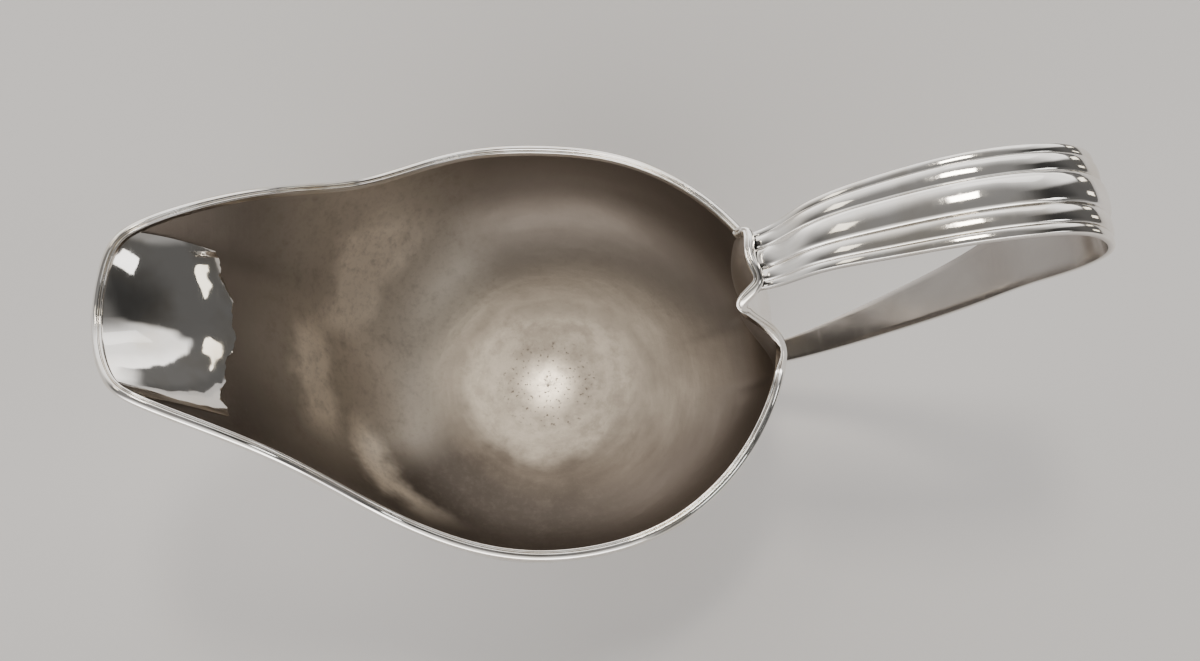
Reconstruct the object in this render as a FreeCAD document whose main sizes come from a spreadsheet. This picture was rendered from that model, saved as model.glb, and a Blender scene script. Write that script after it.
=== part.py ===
import FreeCAD, Part
import Sketcher
import math
import os

from FreeCAD import Vector

# Silver gravy boat. Millimetres, Z up, origin at the centre of the foot's resting face.
# The spout points along -X and the handle along +X. Both sides of Y = 0 are alike, but for a
# slight twist where the handle sits.
# Pieces: raised bowl with its spout, spout liner, rim wire, reeded strap handle, spun foot, foot ring.

doc = FreeCAD.newDocument("gravy_boat")

SIZES = {
    # bowl
    "spout_reach": 89.2,      # axis of the foot to the spout's tip
    "rear_reach": 56.0,       # axis of the foot to the back of the belly
    "belly_half": 49.4,       # half of the bowl's greatest width
    "belly_depth": 27.0,      # bowl floor to the rim's lowest place
    "spout_rise": 40.0,       # rim's lowest place to its highest, at the spout
    "floor_radius": 22.0,     # round flat floor, above the foot
    "wall": 1.2,              # silver of the bowl
    # rim wire
    "rim_overhang": 0.55,     # wire beyond each face of the wall
    "rim_height": 1.7,
    # spout liner
    "liner_edge": 23.5,       # tip of the spout to the liner's inner edge
    "liner_thick": 0.5,
    "liner_gap": 0.05,        # solder under the liner
    # handle strap
    "strap_top": 92.2,        # resting face to the middle of the strap at its highest
    "strap_reach": 113.4,     # axis of the foot to the middle of the strap at its bend
    "strap_root_drop": 3.4,   # rim to the middle of the strap where it leaves the bowl
    "strap_tail_rise": 7.4,   # underside of the bowl to the middle of the strap's lower end
    "strap_root_half": 6.0,
    "strap_bend_half": 9.8,
    "strap_tail_half": 2.7,
    "strap_thick": 1.3,       # plain band under the reeds
    "reed_rise": 0.9,
    "centre_reed_rise": 1.5,
    "edge_bead_rise": 0.4,
    # foot
    "foot_height": 11.0,      # resting face to the underside of the bowl
    "foot_seat_inset": 0.5,   # bowl's flat floor beyond the foot's top edge
    "foot_neck_radius": 18.5,
    "foot_wall": 1.2,
    "ring_height": 2.4,
    "ring_width": 3.2,
    "ring_proud": 1.0,        # ring beyond the edge of the foot
    "foot_edge_radius": 27.2,
}

# What follows from the sizes above. Each is a formula in the same sheet.
FOLLOWS = {
    "foot_top_radius": "=floor_radius - foot_seat_inset",
    "foot_bore": "=foot_neck_radius - foot_wall",
    "cove_radius": "=foot_top_radius - foot_neck_radius",
    "cove_foot": "=foot_height - cove_radius",
    "flange_top": "=ring_height + foot_wall",
    "flare_radius": "=cove_foot - flange_top",
    "flare_inner_radius": "=flare_radius + foot_wall",
    "flare_end": "=foot_neck_radius + flare_radius",
    "ring_outer": "=foot_edge_radius + ring_proud",
    "ring_bore": "=ring_outer - ring_width",
    "ring_bead": "=ring_height / 2",
    "ring_flat": "=ring_outer - ring_bead",
}

sheet = doc.addObject("Spreadsheet::Sheet", "Sizes")
for row, (alias, value) in enumerate(list(SIZES.items()) + list(FOLLOWS.items()), start=1):
    sheet.set("A%d" % row, alias)
    sheet.set("B%d" % row, str(value))
    sheet.setAlias("B%d" % row, alias)
doc.recompute()


def size(alias):
    """One size from the sheet, in millimetres."""
    return float(getattr(sheet, alias))


HALVINGS = 40    # steps of a search for a place on a surface, each half the one before

# ---------------------------------------------------------------- bowl

# One side of the bowl, from the spout's tip round to the handle. Each station says how the
# silver runs there: bearing on the round floor, reach of the lower belly, the control place of
# the upper belly and the place on the rim. Heights are above the floor. The lengths are drawn
# for the sizes in DRAWN and follow the sheet through scaled().
DRAWN = {"spout": 89.5, "rear": 56.0, "half": 50.0, "depth": 27.0, "rise": 40.0}
STATIONS = [
    # bearing, lower reach, upper belly (x, y, z),   rim (x, y, z)
    (180.0, 55.0, (-50.0, 0.0, 50.0), (-89.5, 0.0, 62.6)),      # tip of the spout
    (168.0, 55.0, (-54.0, 12.8, 49.0), (-86.2, 13.6, 65.6)),    # corner of the lip
    (160.0, 54.0, (-57.0, 20.0, 48.0), (-80.6, 19.2, 66.2)),
    (145.0, 50.0, (-50.0, 28.6, 37.0), (-58.5, 29.2, 57.2)),    # side of the spout
    (127.0, 45.0, (-36.0, 39.4, 22.0), (-38.0, 39.2, 39.0)),    # where spout and belly meet
    (107.0, 42.0, (-17.0, 48.6, 14.0), (-17.3, 48.0, 31.0)),
    (87.0, 41.0, (3.0, 50.0, 12.0), (3.0, 50.0, 27.0)),         # widest
    (63.0, 43.0, (24.0, 46.0, 11.0), (24.0, 45.0, 26.0)),
    (38.0, 46.0, (42.5, 32.0, 12.0), (41.6, 31.2, 27.0)),
    (22.0, 52.0, (51.5, 19.0, 14.0), (49.9, 18.0, 29.2)),
    (15.0, 60.0, (54.0, 13.2, 19.0), (51.4, 12.4, 33.6)),       # rim turns up the neck
    (11.0, 72.0, (47.5, 10.0, 30.0), (46.4, 9.5, 48.0)),
    (8.0, 82.0, (38.5, 9.5, 40.0), (41.3, 8.7, 58.2)),          # narrowest, beside the handle
    (5.0, 86.0, (32.0, 7.5, 45.0), (44.6, 5.7, 61.2)),          # corner of the handle's seat
    (0.0, 87.0, (29.0, 0.0, 45.0), (43.8, 0.0, 62.0)),
]

# The handle's seat was bent a little askew by hand: on the +Y side the neck isn't drawn in so far.
# Station number, counted from the tip, and its own rim place.
ASKEW = {
    11: (47.0, 8.9, 48.0),
    12: (43.0, 7.2, 58.6),
    13: (44.2, 5.9, 61.2),
}


def scaled(place):
    """A drawn place taken to the sheet's sizes, with the height above the resting face."""
    x, y, z = place
    reach = size("spout_reach") / DRAWN["spout"] if x < 0 else size("rear_reach") / DRAWN["rear"]
    low = min(z, DRAWN["depth"]) * size("belly_depth") / DRAWN["depth"]
    high = max(z - DRAWN["depth"], 0.0) * size("spout_rise") / DRAWN["rise"]
    floor = size("foot_height") + size("wall")
    return Vector(x * reach, y * size("belly_half") / DRAWN["half"], floor + low + high)


def mirrored(half):
    """Both sides of the boat from the +Y one: the ends lie on the middle plane, so only once."""
    other = [Vector(p.x, -p.y, p.z) for p in half[1:-1]]
    return half + other[::-1]


rim_line = mirrored([scaled(rim) for _, _, _, rim in STATIONS])
for station, rim in ASKEW.items():
    rim_line[station] = scaled(rim)


def closed_parameters(points):
    """Centripetal parameters for a closed row."""
    steps = [0.0]
    for here, there in zip(points, points[1:] + points[:1]):
        steps.append(steps[-1] + math.sqrt(here.distanceToPoint(there)))
    return steps


PARAMETERS = closed_parameters(rim_line)


def closed_row(points):
    """Smooth closed curve through one row of places. Every row shares the rim's parameters."""
    curve = Part.BSplineCurve()
    curve.interpolate(Points=points, PeriodicFlag=True, Parameters=PARAMETERS)
    return curve


def row_surface(rows):
    """Surface over closed rows that are its control rows from one edge to the other."""
    curves = [closed_row(row) for row in rows]
    poles = [list(pole) for pole in zip(*[curve.getPoles() for curve in curves])]
    degree = len(rows) - 1
    surface = Part.BSplineSurface()
    surface.buildFromPolesMultsKnots(
        poles, curves[0].getMultiplicities(), [degree + 1, degree + 1],
        curves[0].getKnots(), [0.0, 1.0], True, False, curves[0].Degree, degree)
    return surface


def stretches(surface):
    """A surface over closed rows as faces, one for each stretch between two stations."""
    faces = []
    for start, end in zip(PARAMETERS, PARAMETERS[1:]):
        stretch = surface.copy()
        stretch.segment(start, end, 0.0, 1.0)
        faces.append(stretch.toShape())
    return faces


def flat_face(points):
    """Level face inside a closed row, its edge cut at the stations."""
    curve = closed_row(points)
    return Part.Face(Part.Wire([curve.toShape(a, b) for a, b in zip(PARAMETERS, PARAMETERS[1:])]))


def outward(points):
    """Level directions that point out of the bowl, square to a closed row."""
    curve = closed_row(points)
    directions = []
    for parameter in PARAMETERS[:-1]:
        run = curve.tangent(parameter)[0]
        side = Vector(-run.y, run.x, 0.0)
        side.normalize()
        directions.append(side)
    return directions


OUTWARD = outward(rim_line)
if OUTWARD[0].x > 0:
    OUTWARD = [side * -1 for side in OUTWARD]


def rim_row(offset, lift=0.0):
    """The rim moved out by offset and up by lift."""
    return [p + side * offset + Vector(0, 0, lift) for p, side in zip(rim_line, OUTWARD)]


def floor_row(radius, height):
    half = [Vector(radius * math.cos(math.radians(a)), radius * math.sin(math.radians(a)), height)
            for a, _, _, _ in STATIONS]
    return mirrored(half)


def lower_row(inset, height):
    reach = size("belly_half") / DRAWN["half"]
    half = [Vector((far * reach - inset) * math.cos(math.radians(a)),
                   (far * reach - inset) * math.sin(math.radians(a)), height)
            for a, far, _, _ in STATIONS]
    return mirrored(half)


def upper_row(inset):
    half = []
    for _, _, upper, _ in STATIONS:
        place = scaled(upper)
        level = Vector(place.x, place.y, 0.0)
        half.append(place - level * (inset / level.Length))
    return mirrored(half)


def bowl_skin(inset):
    """Outside of the bowl (inset 0), or its inside (inset = wall)."""
    floor = size("foot_height") + inset
    return row_surface([
        floor_row(size("floor_radius"), floor),
        lower_row(inset, floor),
        upper_row(inset),
        rim_row(-inset),
    ])


def closed_solid(faces):
    shell = Part.makeShell(faces)
    shell.sewShape()
    solid = Part.makeSolid(shell)
    if solid.Volume < 0:
        solid.reverse()
    return solid


def bowl_shape():
    wall = size("wall")
    outside = bowl_skin(0.0)
    inside = bowl_skin(wall)
    top = row_surface([rim_row(0.0), rim_row(-wall)])
    under = flat_face(floor_row(size("floor_radius"), size("foot_height")))
    floor = flat_face(floor_row(size("floor_radius"), size("foot_height") + wall))
    return closed_solid(stretches(outside) + stretches(inside) + stretches(top) + [under, floor])


def rim_shape():
    """Half-round wire that stands on the wall's top edge."""
    over = size("rim_overhang")
    wide = size("wall") + over
    lift = size("rim_height") * 4.0 / 3.0
    round_top = row_surface([rim_row(over), rim_row(over, lift), rim_row(-wide, lift), rim_row(-wide)])
    seat = row_surface([rim_row(over), rim_row(-wide)])
    return closed_solid(stretches(round_top) + stretches(seat))


# ---------------------------------------------------------------- spout liner

def liner_shape():
    """Thin sheet soldered inside the spout, from just under the rim to a hand-cut edge."""
    inside = bowl_skin(size("wall"))
    edge_x = size("liner_edge") - size("spout_reach")
    ring = PARAMETERS[-1]
    side = PARAMETERS[2]
    steps_round = 12
    steps_down = 8
    near_rim = 0.98     # share of the way up the wall where the sheet stops
    below_edge = 0.3    # a share that is always further down than the sheet goes

    def cut_at(u):
        """The share of the way up the wall where the sheet's inner edge lies."""
        low, high = below_edge, near_rim
        for _ in range(HALVINGS):
            middle = (low + high) / 2
            if inside.value(u, middle).x > edge_x:
                low = middle
            else:
                high = middle
        return low

    def skin(lift):
        """The bowl's inside raised by lift, as far as the sheet covers it."""
        grid = []
        for i in range(steps_round + 1):
            u = (-side + 2 * side * i / steps_round) % ring
            start = cut_at(u)
            line = []
            for j in range(steps_down + 1):
                v = start + (near_rim - start) * j / steps_down
                inner = inside.normal(u, v)
                if inner.z < 0:
                    inner = inner * -1
                line.append(inside.value(u, v) + inner * lift)
            grid.append(line)
        surface = Part.BSplineSurface()
        surface.interpolate(grid)
        return surface

    back = skin(size("liner_gap"))
    face = skin(size("liner_gap") + size("liner_thick"))
    sides = []
    for end in (0.0, 1.0):
        sides.append(Part.makeRuledSurface(back.uIso(end).toShape(), face.uIso(end).toShape()))
        sides.append(Part.makeRuledSurface(back.vIso(end).toShape(), face.vIso(end).toShape()))
    return closed_solid([back.toShape(), face.toShape()] + sides)


# ---------------------------------------------------------------- handle strap

# Middle line of the strap seen from the side. It leaves the bowl just under the rim, rises,
# turns back on itself at the far end, comes down almost straight and curls in to meet the belly.
# The upper run goes by shares of the way from the root to the bend and to the strap's top, and
# the lower run by shares of the way from the tail. The last number is the share of the way from
# that end's half-width to the greatest one, which it has at the bend.
UPPER_RUN = [
    (0.075, 0.09, 0.12),
    (0.180, 0.42, 0.40),
    (0.360, 0.73, 0.74),
    (0.570, 0.94, 0.94),
    (0.775, 1.00, 1.00),
    (0.930, 0.86, 1.00),
    (1.000, 0.50, 1.00),
]
LOWER_RUN = [
    (0.959, 0.740, 0.90),
    (0.839, 0.600, 0.67),
    (0.713, 0.448, 0.48),
    (0.552, 0.297, 0.33),
    (0.339, 0.132, 0.16),
    (0.174, 0.024, 0.04),
    (0.080, -0.010, 0.00),
]


def rear_place(height):
    """The middle of the bowl's wall at a height, straight under the rim's rearmost place."""
    outside = bowl_skin(0.0)
    rear = PARAMETERS[len(STATIONS) - 1]
    low, high = 0.0, 1.0
    for _ in range(HALVINGS):
        middle = (low + high) / 2
        if outside.value(rear, middle).z < height:
            low = middle
        else:
            high = middle
    inward = Vector(-size("wall") / 2, 0, 0)
    return outside.value(rear, low) + inward


def strap_places():
    """Middle line of the strap, root to tail, each place with the strap's half-width."""
    bend = size("strap_bend_half")
    places = []
    root = rear_place(rim_line[len(STATIONS) - 1].z - size("strap_root_drop"))
    tail = rear_place(size("foot_height") + size("strap_tail_rise"))

    def along(end, half, shares):
        run, rise, wide = shares
        x = end.x + run * (size("strap_reach") - end.x)
        z = end.z + rise * (size("strap_top") - end.z)
        return Vector(x, 0, z), half + wide * (bend - half)

    places.append((root, size("strap_root_half")))
    places += [along(root, size("strap_root_half"), shares) for shares in UPPER_RUN]
    places += [along(tail, size("strap_tail_half"), shares) for shares in LOWER_RUN]
    places.append((tail, size("strap_tail_half")))
    return places


# Bands across the strap, as shares of its half-width: where each one starts, and its rise.
BANDS = [
    (1.00, "edge_bead_rise"),
    (0.79, "reed_rise"),
    (0.36, "centre_reed_rise"),
    (-0.36, "reed_rise"),
    (-0.79, "edge_bead_rise"),
]


def strap_section(place, run, half):
    """Outline across the strap: flat inside, five rounded reeds outside."""
    out = Vector(-run.z, 0, run.x)
    thick = size("strap_thick")
    grow = half / size("strap_bend_half")
    bounds = [start for start, _ in BANDS] + [-1.0]

    def at(across, rise):
        return place + Vector(0, across * half, 0) + out * rise

    edges = []
    for (start, rise), end in zip(BANDS, bounds[1:]):
        crest = at((start + end) / 2, thick / 2 + size(rise) * grow)
        edges.append(Part.Arc(at(start, thick / 2), crest, at(end, thick / 2)).toShape())
    corners = [at(-1.0, thick / 2), at(-1.0, -thick / 2), at(1.0, -thick / 2), at(1.0, thick / 2)]
    edges += [Part.makeLine(a, b) for a, b in zip(corners, corners[1:])]
    return Part.Wire(edges)


def strap_shape():
    places = strap_places()
    path = Part.BSplineCurve()
    path.interpolate([place for place, _ in places])
    sections = []
    for place, half in places:
        run = path.tangent(path.parameter(place))[0]
        sections.append(strap_section(place, run, half))
    strap = Part.makeLoft(sections, True, False)
    filed = strap.cut(bowl_shape()).cut(rim_shape())
    return max(filed.Solids, key=lambda solid: solid.Volume)    # without the filings inside the bowl


def put(name, shape):
    """A sub-part whose shape the functions above make."""
    piece = doc.addObject("Part::Feature", name)
    piece.Label = name
    piece.Shape = shape
    piece.Placement = FreeCAD.Placement()
    return piece


# ---------------------------------------------------------------- foot and foot ring

def ends_that_meet(sketch, one, two):
    """The point numbers (1 start, 2 end) at which two drawn lines meet."""
    pairs = [(a, b) for a in (1, 2) for b in (1, 2)]
    return min(pairs, key=lambda pair: sketch.getPoint(one, pair[0]).distanceToPoint(
        sketch.getPoint(two, pair[1])))


def start_of(sketch, index):
    """The point number of a line that no later line of the outline meets: its own corner."""
    count = len(sketch.Geometry)
    return 3 - ends_that_meet(sketch, index, (index + 1) % count)[0]


def turned(name, corners):
    """A body turned about Z from a closed outline. A corner is the sheet's names for its radius
    and height (None: on the resting face), then for the arc that leads to the next corner its
    radius and the place of its centre, or None for a straight line."""
    body = doc.addObject("PartDesign::Body", name)
    body.Label = name
    plane = [item for item in body.Origin.OriginFeatures if item.Role == "XZ_Plane"][0]
    sketch = body.newObject("Sketcher::SketchObject", name + "_outline")
    sketch.AttachmentSupport = [(plane, "")]
    sketch.MapMode = "FlatFace"

    def place(radius, height):
        return Vector(size(radius), size(height) if height else 0.0, 0)

    def bind(kind, line, value):
        index = sketch.addConstraint(Sketcher.Constraint(kind, *line, size(value)))
        sketch.setExpression("Constraints[%d]" % index, "Sizes." + value)

    count = len(corners)
    for index, (radius, height, arc) in enumerate(corners):
        here = place(radius, height)
        there = place(*corners[(index + 1) % count][:2])
        if arc:
            bend, centre = arc
            middle = place(*centre)
            halfway = (here + there) / 2 - middle
            halfway.normalize()
            sketch.addGeometry(Part.Arc(here, middle + halfway * size(bend), there))
        else:
            sketch.addGeometry(Part.LineSegment(here, there))
    for index, (radius, height, arc) in enumerate(corners):
        after = (index + 1) % count
        end, start = ends_that_meet(sketch, index, after)
        sketch.addConstraint(Sketcher.Constraint("Coincident", index, end, after, start))
        start_point = start_of(sketch, index)
        bind("DistanceX", (-1, 1, index, start_point), radius)
        if height:
            bind("DistanceY", (-1, 1, index, start_point), height)
        else:
            sketch.addConstraint(Sketcher.Constraint("PointOnObject", index, start_point, -1))
        if arc:
            bind("Radius", (index,), arc[0])
    solid = body.newObject("PartDesign::Revolution", name + "_turning")
    solid.Profile = sketch
    solid.ReferenceAxis = (sketch, ["V_Axis"])
    solid.Angle = 360
    return body


foot = turned("foot", [
    ("foot_top_radius", "foot_height", ("cove_radius", ("foot_top_radius", "cove_foot"))),
    ("foot_neck_radius", "cove_foot", ("flare_radius", ("flare_end", "cove_foot"))),
    ("flare_end", "flange_top", None),
    ("foot_edge_radius", "flange_top", None),
    ("foot_edge_radius", "ring_height", None),
    ("flare_end", "ring_height", ("flare_inner_radius", ("flare_end", "cove_foot"))),
    ("foot_bore", "cove_foot", None),
    ("foot_bore", "foot_height", None),
])
foot_ring = turned("foot_ring", [
    ("ring_flat", None, ("ring_bead", ("ring_flat", "ring_bead"))),
    ("ring_outer", "ring_bead", ("ring_bead", ("ring_flat", "ring_bead"))),
    ("ring_flat", "ring_height", None),
    ("ring_bore", "ring_height", None),
    ("ring_bore", None, None),
])

bowl = put("bowl", bowl_shape())
rim_wire = put("rim_wire", rim_shape())
spout_liner = put("spout_liner", liner_shape())
handle_strap = put("handle_strap", strap_shape())
doc.recompute()


# ---------------------------------------------------------------- hand-off

pieces = [bowl, spout_liner, rim_wire, handle_strap, foot, foot_ring]
for piece in pieces:
    if set(piece.State) & {"Invalid", "Error"}:
        raise RuntimeError("%s didn't build" % piece.Label)
    if piece.Shape.isNull() or not piece.Shape.isValid():
        raise RuntimeError("%s has a bad shape" % piece.Label)

os.makedirs("parts", exist_ok=True)
for piece in pieces:
    piece.Shape.exportStep("parts/%s.step" % piece.Label)
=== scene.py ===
import math

import bmesh
import bpy
import numpy as np
from bpy.props import FloatProperty, FloatVectorProperty, IntProperty, PointerProperty
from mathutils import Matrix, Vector
from mathutils.bvhtree import BVHTree


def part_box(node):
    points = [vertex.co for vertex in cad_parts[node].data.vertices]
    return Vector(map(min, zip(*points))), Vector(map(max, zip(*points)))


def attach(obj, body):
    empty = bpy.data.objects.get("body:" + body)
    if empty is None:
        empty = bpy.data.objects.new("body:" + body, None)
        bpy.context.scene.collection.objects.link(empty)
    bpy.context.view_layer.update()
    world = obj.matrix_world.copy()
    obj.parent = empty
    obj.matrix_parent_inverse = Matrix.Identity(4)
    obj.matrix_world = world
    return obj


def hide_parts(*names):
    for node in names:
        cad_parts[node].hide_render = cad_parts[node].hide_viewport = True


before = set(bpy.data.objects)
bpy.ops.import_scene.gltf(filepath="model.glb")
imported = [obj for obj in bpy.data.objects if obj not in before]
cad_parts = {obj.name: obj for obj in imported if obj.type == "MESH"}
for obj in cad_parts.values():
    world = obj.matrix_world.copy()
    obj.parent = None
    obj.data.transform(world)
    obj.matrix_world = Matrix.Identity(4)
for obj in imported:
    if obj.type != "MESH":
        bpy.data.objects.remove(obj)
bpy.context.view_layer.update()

bl_info = {
    "name": "Silver gravy boat",
    "version": (1, 0, 0),
    "blender": (4, 5, 0),
    "location": "View3D > Sidebar > Gravy boat",
    "description": "A raised silver gravy boat with a lined spout, a rim wire and a reeded strap handle",
    "category": "Add Mesh",
}

MM = 0.001
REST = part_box("bowl")[0].z        # underside of the bowl, on top of the foot

# -------- sizes and colours


def length(name, about, default):
    return FloatProperty(name=name, description=about, default=default, unit="LENGTH", precision=4)


def colour(name, about, default):
    return FloatVectorProperty(name=name, description=about, default=default, subtype="COLOR",
                               min=0.0, max=1.0)


class BowlSizes(bpy.types.PropertyGroup):
    """Sizes of the raised bowl"""
    spout_reach: length("Spout reach", "Axis of the foot to the spout's tip", 0.0892)
    rear_reach: length("Rear reach", "Axis of the foot to the back of the belly", 0.056)
    belly_half: length("Belly half", "Half of the greatest width", 0.0494)
    belly_depth: length("Belly depth", "Bowl floor to the rim's lowest place", 0.027)
    spout_rise: length("Spout rise", "Rim's lowest place to its highest", 0.040)
    floor_radius: length("Floor radius", "Round flat floor above the foot", 0.022)
    wall: length("Wall", "Silver of the bowl", 0.0012)
    turning: length("Turning pitch", "Distance between the marks of the turned floor", 0.0021)


class LinerSizes(bpy.types.PropertyGroup):
    """Sizes of the sheet soldered in the spout"""
    edge: length("Edge", "Tip of the spout to the sheet's inner edge", 0.0235)
    thick: length("Thickness", "Sheet silver", 0.0005)
    gap: length("Gap", "Solder under the sheet", 0.00005)


class WireSizes(bpy.types.PropertyGroup):
    """Sizes of the rim wire"""
    overhang: length("Overhang", "Wire beyond each face of the wall", 0.00053)
    height: length("Height", "Wire above the wall's top edge", 0.0017)


class StrapSizes(bpy.types.PropertyGroup):
    """Sizes of the reeded strap"""
    top: length("Top", "Resting face to the middle of the strap at its highest", 0.0922)
    reach: length("Reach", "Axis of the foot to the middle of the strap at its bend", 0.1134)
    root_drop: length("Root drop", "Rim to the middle of the strap's root", 0.0034)
    tail_rise: length("Tail rise", "Underside of the bowl to the strap's lower end", 0.0074)
    root_half: length("Root half", "Half width where it leaves the bowl", 0.0060)
    bend_half: length("Bend half", "Half width at the bend", 0.0098)
    tail_half: length("Tail half", "Half width at the lower end", 0.0027)
    thick: length("Thickness", "Plain band under the reeds", 0.0013)
    reed: length("Reed rise", "Height of the side reeds", 0.0009)
    centre_reed: length("Centre reed rise", "Height of the middle reed", 0.00149)
    edge_bead: length("Edge bead rise", "Height of the beads along the edges", 0.0004)


class FootSizes(bpy.types.PropertyGroup):
    """Sizes of the spun foot and its ring"""
    height: length("Height", "Resting face to the underside of the bowl", REST)
    top_radius: length("Top radius", "Top edge, under the bowl", 0.0215)
    neck_radius: length("Neck radius", "Narrowest place", 0.0185)
    edge_radius: length("Edge radius", "Edge of the foot", 0.0272)
    wall: length("Wall", "Silver of the foot", 0.0012)
    ring_height: length("Ring height", "Height of the ring under the foot", 0.0024)
    ring_width: length("Ring width", "Width of the ring", 0.0032)
    ring_proud: length("Ring proud", "Ring beyond the edge of the foot", 0.0010)
    segments: IntProperty(name="Segments", description="Steps round a turned piece", default=256,
                          min=32, max=512)


class SilverFinish(bpy.types.PropertyGroup):
    """Colours of the silver"""
    bright: colour("Polished silver", "Clean polished silver", (0.93, 0.91, 0.88))
    satin: colour("Satin silver", "Silver rubbed dull inside the bowl", (0.31, 0.272, 0.232))
    tarnish: colour("Tarnish", "Brown bloom that polishing leaves", (0.20, 0.168, 0.142))
    # Painted shade: the darker colour of the strap's inner face, under the strap.
    dull: colour("Dull silver", "Silver that the cloth seldom reaches", (0.38, 0.355, 0.335))
    floor: colour("Table", "Pale surface under the boat", (0.77, 0.755, 0.75))


class BoatSettings(bpy.types.PropertyGroup):
    """All that a user would change"""
    bowl: PointerProperty(type=BowlSizes)
    liner: PointerProperty(type=LinerSizes)
    wire: PointerProperty(type=WireSizes)
    strap: PointerProperty(type=StrapSizes)
    foot: PointerProperty(type=FootSizes)
    silver: PointerProperty(type=SilverFinish)


# -------- workbench for node trees

class Value:
    """A socket that Python's operators work on: each operator adds its Math node."""

    def __init__(self, bench, socket):
        self.bench = bench
        self.socket = socket

    def math(self, operation, *others):
        values = {0: self}
        values.update({index: other for index, other in enumerate(others, start=1)})
        return self.bench.node("ShaderNodeMath", {"operation": operation}, values)

    def __add__(self, other):
        return self.math("ADD", other)

    def __sub__(self, other):
        return self.math("SUBTRACT", other)

    def __mul__(self, other):
        return self.math("MULTIPLY", other)

    def __truediv__(self, other):
        return self.math("DIVIDE", other)

    def __pow__(self, other):
        return self.math("POWER", other)

    def __rsub__(self, other):
        return self.bench.node("ShaderNodeMath", {"operation": "SUBTRACT"}, {0: other, 1: self})

    __radd__ = __add__
    __rmul__ = __mul__

    def clamped(self):
        return self.bench.node("ShaderNodeClamp", {}, {0: self})


class Bench:
    """A node tree being made, for a material or for geometry."""

    def __init__(self, tree):
        self.tree = tree

    def node(self, kind, settings, values, out=0):
        """One node: its type, its settings, then the values or links of its sockets."""
        made = self.tree.nodes.new(kind)
        for name, setting in settings.items():
            setattr(made, name, setting)
        for name, value in values.items():
            if isinstance(value, Value):
                self.tree.links.new(value.socket, made.inputs[name])
            else:
                made.inputs[name].default_value = value
        if out is None:
            return made
        return Value(self, made.outputs[out])

    def ramp(self, value, low, high, start=0.0, end=1.0):
        """value taken smoothly from low..high to start..end."""
        return self.node("ShaderNodeMapRange", {"interpolation_type": "SMOOTHSTEP"},
                         {0: value, 1: low, 2: high, 3: start, 4: end})

    def blend(self, mask, one, two):
        """A colour between two."""
        return self.node("ShaderNodeMix", {"data_type": "RGBA"}, {0: mask, 6: one, 7: two}, 2)

    def noise(self, place, scale, detail=2.0, rough=0.5, stretch=None):
        """Noise over a place, in cells per metre, from 0 to 1."""
        if stretch:
            place = self.node("ShaderNodeMapping", {}, {"Vector": place, "Scale": stretch})
        return self.node("ShaderNodeTexNoise", {},
                         {"Vector": place, "Scale": scale, "Detail": detail, "Roughness": rough})

    def axes(self, place):
        """The X, Y and Z of a vector."""
        parts = self.node("ShaderNodeSeparateXYZ", {}, {0: place}, None)
        return [Value(self, parts.outputs[name]) for name in "XYZ"]

    def group(self, names):
        """The group's inputs, by name. The first is the geometry that comes in."""
        face = self.tree.interface
        sockets = {name: face.new_socket(name, in_out="INPUT", socket_type=kind) for name, kind in names}
        face.new_socket("Geometry", in_out="OUTPUT", socket_type="NodeSocketGeometry")
        source = self.tree.nodes.new("NodeGroupInput")
        values = {name: Value(self, source.outputs[name]) for name, _ in names}
        return values, {name: socket.identifier for name, socket in sockets.items()}


def geometry_tree(name):
    return Bench(bpy.data.node_groups.new(name, "GeometryNodeTree"))


def grown(name, start, bench, identifiers, inputs):
    """The plain mesh that a geometry tree makes from a starting mesh."""
    seed = bpy.data.objects.new(name + "_start", start)
    bpy.context.scene.collection.objects.link(seed)
    modifier = seed.modifiers.new(name, "NODES")
    modifier.node_group = bench.tree
    for label, value in inputs.items():
        modifier[identifiers[label]] = value
    graph = bpy.context.evaluated_depsgraph_get()
    mesh = bpy.data.meshes.new_from_object(seed.evaluated_get(graph), depsgraph=graph)
    seed.modifiers.clear()
    bpy.data.objects.remove(seed)
    bpy.data.node_groups.remove(bench.tree)
    if not mesh.polygons:
        raise RuntimeError("the %s tree made no faces" % name)
    return mesh


def end_tree(bench, shape, metal):
    """The end of every tree: real meshes, with their silver."""
    shape = bench.node("GeometryNodeRealizeInstances", {}, {0: shape})
    shape = bench.node("GeometryNodeSetMaterial", {}, {"Geometry": shape, "Material": metal})
    end = bench.tree.nodes.new("NodeGroupOutput")
    bench.tree.links.new(shape.socket, end.inputs[0])


# -------- meshes

def loft(loops):
    """Vertices and faces over equal closed loops of places, open at both ends."""
    rows, around = loops.shape[:2]
    faces = []
    for low in range(0, (rows - 1) * around, around):
        high = low + around
        for column in range(around):
            after = (column + 1) % around
            faces.append((low + column, low + after, high + after, high + column))
    return loops.reshape(-1, 3).tolist(), faces


def mesh_of(name, verts, faces, attributes=None):
    mesh = bpy.data.meshes.new(name)
    mesh.from_pydata(verts, [], faces)
    for label, values in (attributes or {}).items():
        kind = "FLOAT_VECTOR" if np.ndim(values) == 2 else "FLOAT"
        layer = mesh.attributes.new(label, kind, "POINT")
        field = "vector" if kind == "FLOAT_VECTOR" else "value"
        layer.data.foreach_set(field, np.asarray(values, np.float32).ravel())
    mesh.validate()
    return mesh


def finished(name, mesh, node, material, sharp=40.0):
    """A mesh made a finished piece that stands for its CAD node."""
    work = bmesh.new()
    work.from_mesh(mesh)
    bmesh.ops.remove_doubles(work, verts=work.verts, dist=2e-7)
    bmesh.ops.recalc_face_normals(work, faces=work.faces)
    for face in work.faces:
        face.smooth = True
    for edge in work.edges:
        edge.smooth = len(edge.link_faces) == 2 and edge.calc_face_angle(0.0) < math.radians(sharp)
    work.to_mesh(mesh)
    work.free()
    mesh.materials.clear()
    mesh.materials.append(material)
    piece = bpy.data.objects.new(name, mesh)
    bpy.context.scene.collection.objects.link(piece)
    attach(piece, "root")
    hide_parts(node)
    return piece


# -------- lines of the bowl

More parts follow.
